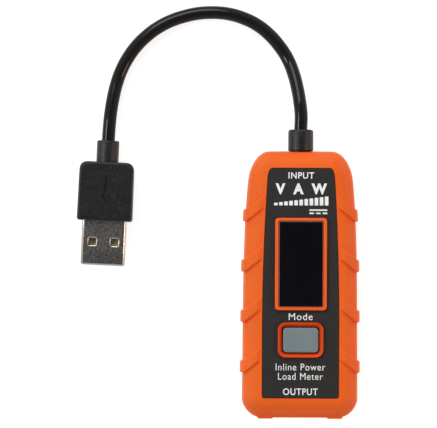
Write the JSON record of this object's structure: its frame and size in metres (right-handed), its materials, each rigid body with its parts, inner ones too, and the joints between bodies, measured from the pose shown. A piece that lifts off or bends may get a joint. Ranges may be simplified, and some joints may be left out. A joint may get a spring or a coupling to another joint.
{
  "type": "usb power meter",
  "caption": "Pocket in-line USB power meter: orange two-part housing with grip ribs, dark display, push button, output socket and a short plug lead.",
  "frame": {"origin": "on the table, under the middle of the housing, measured without the lead and plug", "axes": "+Z out of the display, +Y along the meter from the output socket to the lead, +X to the right of the display"},
  "size_m": [0.0767, 0.1115, 0.0162],
  "materials": {
    "housing_orange": "soft satin, fine moulded grain",
    "face_black": "matte printed film, fine grain",
    "display_dark": "glossy dark acrylic",
    "display_module": "smooth",
    "carrier_white": "satin",
    "ribbon_amber": "smooth polyimide film",
    "button_grey": "matte silicone",
    "switch_black": "satin",
    "board_green": "solder mask",
    "chip_black": "moulded epoxy",
    "shunt_metal": "plain",
    "can_aluminium": "plain",
    "bright_steel": "nickel plated, finely brushed",
    "screw_steel": "zinc plated",
    "contact_gold": "gold plated",
    "insulator_white": "satin",
    "lead_black": "smooth jacket with a soft gloss",
    "plug_black": "matte, spark-eroded grain",
    "rear_label": "satin film",
    "wire_red": "smooth",
    "wire_white": "smooth",
    "wire_green": "smooth",
    "wire_black": "smooth"
  },
  "bodies": {
    "meter": {"rear_shell": "housing_orange", "front_shell": "housing_orange", "face_label": "face_black", "rear_label": "rear_label", "display_window": "display_dark", "display_panel": "display_module", "display_carrier": "carrier_white", "display_ribbon": "ribbon_amber", "switch_base": "switch_black", "switch_cover": "bright_steel", "switch_dome": "bright_steel", "main_board": "board_green", "controller_chip": "chip_black", "timing_crystal": "can_aluminium", "current_shunt": "shunt_metal", "voltage_regulator": "chip_black", "input_capacitor": "can_aluminium", "output_capacitor": "can_aluminium", "socket_shell": "bright_steel", "socket_insulator": "insulator_white", "socket_contact_1": "contact_gold", "socket_contact_2": "contact_gold", "socket_contact_3": "contact_gold", "socket_contact_4": "contact_gold", "case_screw_1": "screw_steel", "case_screw_2": "screw_steel", "case_screw_3": "screw_steel", "case_screw_4": "screw_steel", "cable_strain_relief": "plug_black", "power_cord": "lead_black", "wire_red": "wire_red", "wire_white": "wire_white", "wire_green": "wire_green", "wire_black": "wire_black", "plug_overmold": "plug_black", "plug_shell": "bright_steel", "plug_insulator": "insulator_white", "plug_contact_1": "contact_gold", "plug_contact_2": "contact_gold", "plug_contact_3": "contact_gold", "plug_contact_4": "contact_gold"},
    "mode_button": {"mode_button": "button_grey"},
    "switch_plunger": {"switch_plunger": "switch_black"}
  },
  "joints": [
    {"name": "button_press", "type": "slide", "parent": "meter", "child": "mode_button", "axis": [0, 0, -1], "range_m": [0, 0.0003], "stiffness_N_per_m": 3000, "springref_m": -0.0002},
    {"name": "plunger_press", "type": "slide", "parent": "meter", "child": "switch_plunger", "axis": [0, 0, -1], "range_m": [0, 0.0003], "deforming": ["switch_dome"]}
  ],
  "couplings": [
    {"joint": "plunger_press", "follows": "button_press", "ratio": 1}
  ]
}
